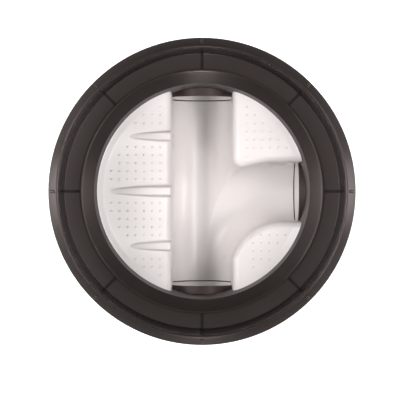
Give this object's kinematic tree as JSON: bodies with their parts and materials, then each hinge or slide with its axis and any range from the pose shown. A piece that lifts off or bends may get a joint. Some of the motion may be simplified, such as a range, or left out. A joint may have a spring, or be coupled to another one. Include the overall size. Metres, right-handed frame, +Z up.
{
  "type": "drain inspection chamber",
  "caption": "Base of a drain inspection chamber: black round body with a riser socket, light channel and benching insert, through channel and swept side branch, pipe sockets.",
  "frame": {"origin": "centre of the underside, on the axis of the riser socket", "axes": "+Z up along the riser axis; the main channel runs along Y, inlet at +Y and outlet at -Y; the branch comes in at +X"},
  "size_m": [0.744, 0.7438, 0.522],
  "materials": {
    "black_pp": "satin moulded polypropylene",
    "light_pp": "satin moulded polypropylene",
    "seal_rubber": "smooth rubber",
    "cap_pp": "satin moulded polypropylene"
  },
  "bodies": {
    "root": {"chamber_body": "black_pp", "channel_insert": "light_pp", "inlet_sleeve": "light_pp", "outlet_sleeve": "light_pp", "branch_sleeve": "light_pp", "inlet_seal": "seal_rubber", "outlet_seal": "seal_rubber", "branch_seal": "seal_rubber", "inlet_seal_cap": "cap_pp", "outlet_seal_cap": "cap_pp", "branch_seal_cap": "cap_pp"}
  },
  "joints": []
}
